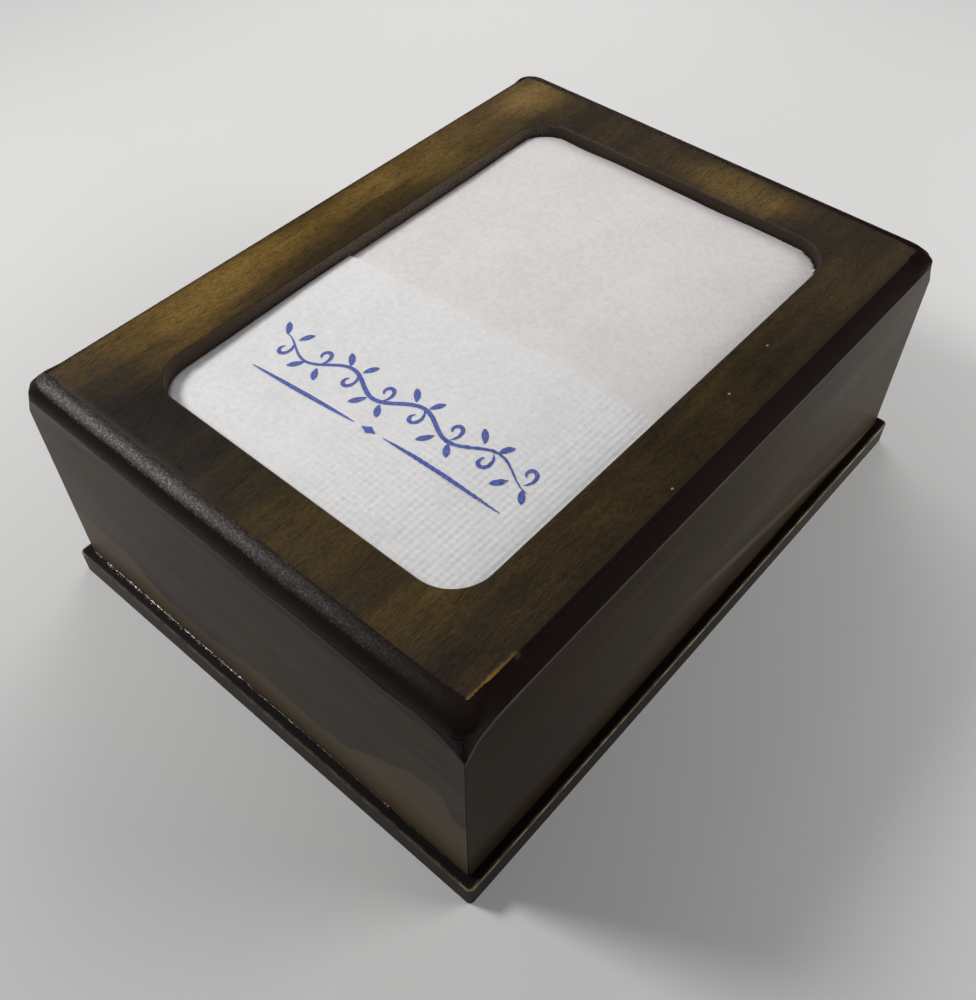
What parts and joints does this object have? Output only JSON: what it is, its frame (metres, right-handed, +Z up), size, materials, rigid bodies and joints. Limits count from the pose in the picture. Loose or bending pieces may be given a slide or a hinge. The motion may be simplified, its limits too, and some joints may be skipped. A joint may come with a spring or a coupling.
{
  "type": "napkin holder with drawer",
  "caption": "Dark varnished wooden napkin box with a large window in its top, a base plate that stands out all round, a rear drawer with a round knob, and a sprung plate under the napkins.",
  "frame": {"origin": "centre of the base plate's underside, where the box stands on the table", "axes": "+Z up, +Y along the box towards the drawer front, +X across the box to the right when the fixed short end is in front"},
  "size_m": [0.117, 0.1662, 0.0595],
  "materials": {
    "dark_varnished_wood": "walnut stain under a glossy varnish, brushed on by hand",
    "varnished_plywood": "walnut stain under a glossy varnish, grey cut edge",
    "plain_pine": "sanded, no finish",
    "birch_plywood": "sanded, no finish",
    "zinc_plated_steel": "bright zinc plating",
    "spring_steel": "drawn wire, lightly oiled",
    "white_tissue": "soft embossed paper tissue, matt, with a pale blue printed ornament on the front leaf"
  },
  "bodies": {
    "case": {"base_plate": "varnished_plywood", "front_wall": "dark_varnished_wood", "left_wall": "dark_varnished_wood", "right_wall": "dark_varnished_wood", "top_board": "dark_varnished_wood", "kicker_left": "plain_pine", "kicker_right": "plain_pine", "stop_button_left": "plain_pine", "stop_button_right": "plain_pine", "base_screws": "zinc_plated_steel"},
    "drawer": {"drawer_front": "dark_varnished_wood", "drawer_knob": "dark_varnished_wood", "knob_screw": "zinc_plated_steel", "drawer_side_left": "plain_pine", "drawer_side_right": "plain_pine", "drawer_inner_end": "plain_pine", "drawer_bottom": "birch_plywood", "drawer_pins": "zinc_plated_steel", "lower_seat_front": "plain_pine", "lower_seat_rear": "plain_pine", "lifter_spring_front": "spring_steel", "lifter_spring_rear": "spring_steel"},
    "lifter": {"lifter_plate": "birch_plywood", "upper_seat_front": "plain_pine", "upper_seat_rear": "plain_pine", "napkin_stack": "white_tissue", "rear_napkin": "white_tissue", "front_napkin": "white_tissue"}
  },
  "joints": [
    {"name": "drawer_slide", "type": "slide", "parent": "case", "child": "drawer", "axis": [0, 1, 0], "range_m": [0, 0.1]},
    {"name": "lifter_travel", "type": "slide", "parent": "drawer", "child": "lifter", "axis": [0, 0, 1], "range_m": [-0.008, 0], "stiffness_N_per_m": 300, "springref_m": 0.012, "deforming": ["lifter_spring_front", "lifter_spring_rear"]}
  ]
}
